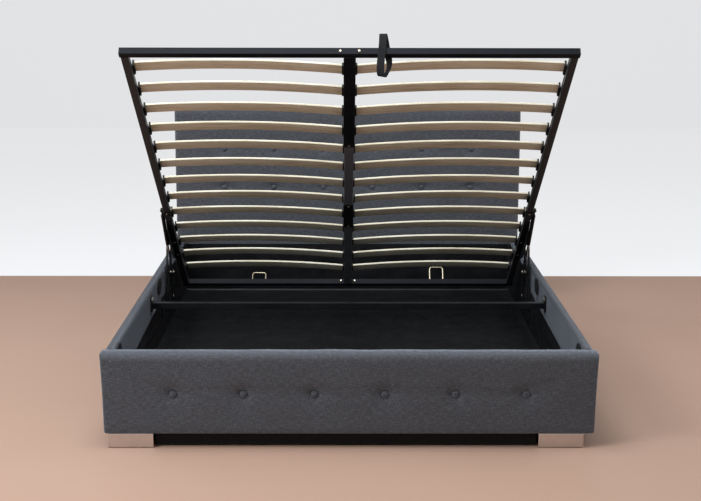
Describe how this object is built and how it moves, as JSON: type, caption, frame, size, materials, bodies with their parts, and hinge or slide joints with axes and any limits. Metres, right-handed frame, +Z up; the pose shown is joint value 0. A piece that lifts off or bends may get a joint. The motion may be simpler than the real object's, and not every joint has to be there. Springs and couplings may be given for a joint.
{
  "type": "ottoman storage bed",
  "caption": "Upholstered storage bed with a buttoned headboard and footboard, and a slatted steel platform raised on arms and gas struts.",
  "frame": {"origin": "on the floor, midway between the two sides and midway between the footboard's front face and the headboard's back face", "axes": "+X towards the right as seen from the foot of the bed, +Y from the footboard to the headboard, +Z up"},
  "size_m": [1.63, 2.174, 1.3588],
  "materials": {
    "upholstery": "matt charcoal grey woven fabric over foam",
    "black_cloth": "black non-woven cloth and webbing",
    "pine_board": "raw board, hidden by the upholstery",
    "black_board": "board painted black",
    "black_steel": "satin black powder coat",
    "birch": "bent birch slats, clear satin lacquer",
    "black_plastic": "moulded, matt black",
    "chrome": "polished",
    "zinc": "bright zinc plate"
  },
  "bodies": {
    "bed_frame": {"base_pivots": "zinc", "base_screws": "zinc", "centre_beam": "black_board", "centre_feet": "black_plastic", "corner_bolts": "zinc", "corner_brackets": "black_steel", "crossbar": "black_steel", "crossbar_brackets": "black_steel", "floor_panels": "black_board", "footboard_board": "pine_board", "footboard_buttons": "upholstery", "footboard_cover": "upholstery", "front_beam": "black_board", "front_feet": "chrome", "headboard_back_cloth": "black_cloth", "headboard_battens": "pine_board", "headboard_board": "pine_board", "headboard_buttons": "upholstery", "headboard_cover": "upholstery", "left_base_plate": "black_steel", "left_rail_board": "pine_board", "left_rail_cover": "upholstery", "rear_beam": "black_board", "rear_feet": "black_plastic", "right_base_plate": "black_steel", "right_rail_board": "pine_board", "right_rail_cover": "upholstery", "rub_pads": "black_plastic", "side_battens": "black_board", "storage_lining": "black_cloth"},
    "front_arms": {"right_front_arm": "black_steel", "left_front_arm": "black_steel", "strut_lower_pins": "zinc"},
    "rear_arms": {"right_rear_arm": "black_steel", "left_rear_arm": "black_steel", "rear_arm_pins": "zinc"},
    "strut_rods": {"right_strut_rod": "chrome", "left_strut_rod": "chrome"},
    "strut_cylinders": {"right_strut_cylinder": "black_steel", "left_strut_cylinder": "black_steel", "strut_upper_pins": "zinc"},
    "platform": {"foot_rail": "black_steel", "head_rail": "black_steel", "end_caps": "black_plastic", "right_side_tube": "black_steel", "left_side_tube": "black_steel", "centre_tube_front": "black_steel", "centre_tube_rear": "black_steel", "centre_channel": "black_steel", "centre_sleeve": "black_steel", "right_slats": "birch", "left_slats": "birch", "slat_holders": "black_plastic", "mattress_stops": "zinc", "pull_strap": "black_cloth", "strut_brackets": "black_steel", "right_arm_bracket": "black_steel", "left_arm_bracket": "black_steel", "platform_bolts": "zinc"}
  },
  "joints": [
    {"name": "front_arm_pivots", "type": "hinge", "parent": "bed_frame", "child": "front_arms", "pos_m": [0, 0.24291, 0.16], "axis": [-1, 0, 0], "range_deg": [0, 47.87], "stiffness_Nm_per_rad": 60, "springref_deg": -143.24},
    {"name": "platform_pivots", "type": "hinge", "parent": "front_arms", "child": "platform", "pos_m": [0, 0.31622, 0.44573], "axis": [1, 0, 0], "range_deg": [0, 82.82]},
    {"name": "rear_arm_pivots", "type": "hinge", "parent": "bed_frame", "child": "rear_arms", "pos_m": [0, 0.46736, 0.16], "axis": [-1, 0, 0], "range_deg": [0, 62.43]},
    {"name": "strut_foot_pivots", "type": "hinge", "parent": "front_arms", "child": "strut_rods", "pos_m": [0, 0.38148, 0.2845], "axis": [1, 0, 0], "range_deg": [0, 57.89]},
    {"name": "strut_stroke", "type": "slide", "parent": "strut_rods", "child": "strut_cylinders", "axis": [0, 0.6756, -0.7372], "range_m": [0, 0.17902]}
  ],
  "couplings": [
    {"joint": "platform_pivots", "follows": "front_arm_pivots", "ratio": 1.7301},
    {"joint": "rear_arm_pivots", "follows": "front_arm_pivots", "ratio": 1.3041},
    {"joint": "strut_foot_pivots", "follows": "front_arm_pivots", "ratio": 1.2093},
    {"joint": "strut_stroke", "follows": "front_arm_pivots", "m_per_rad": 0.2142}
  ]
}
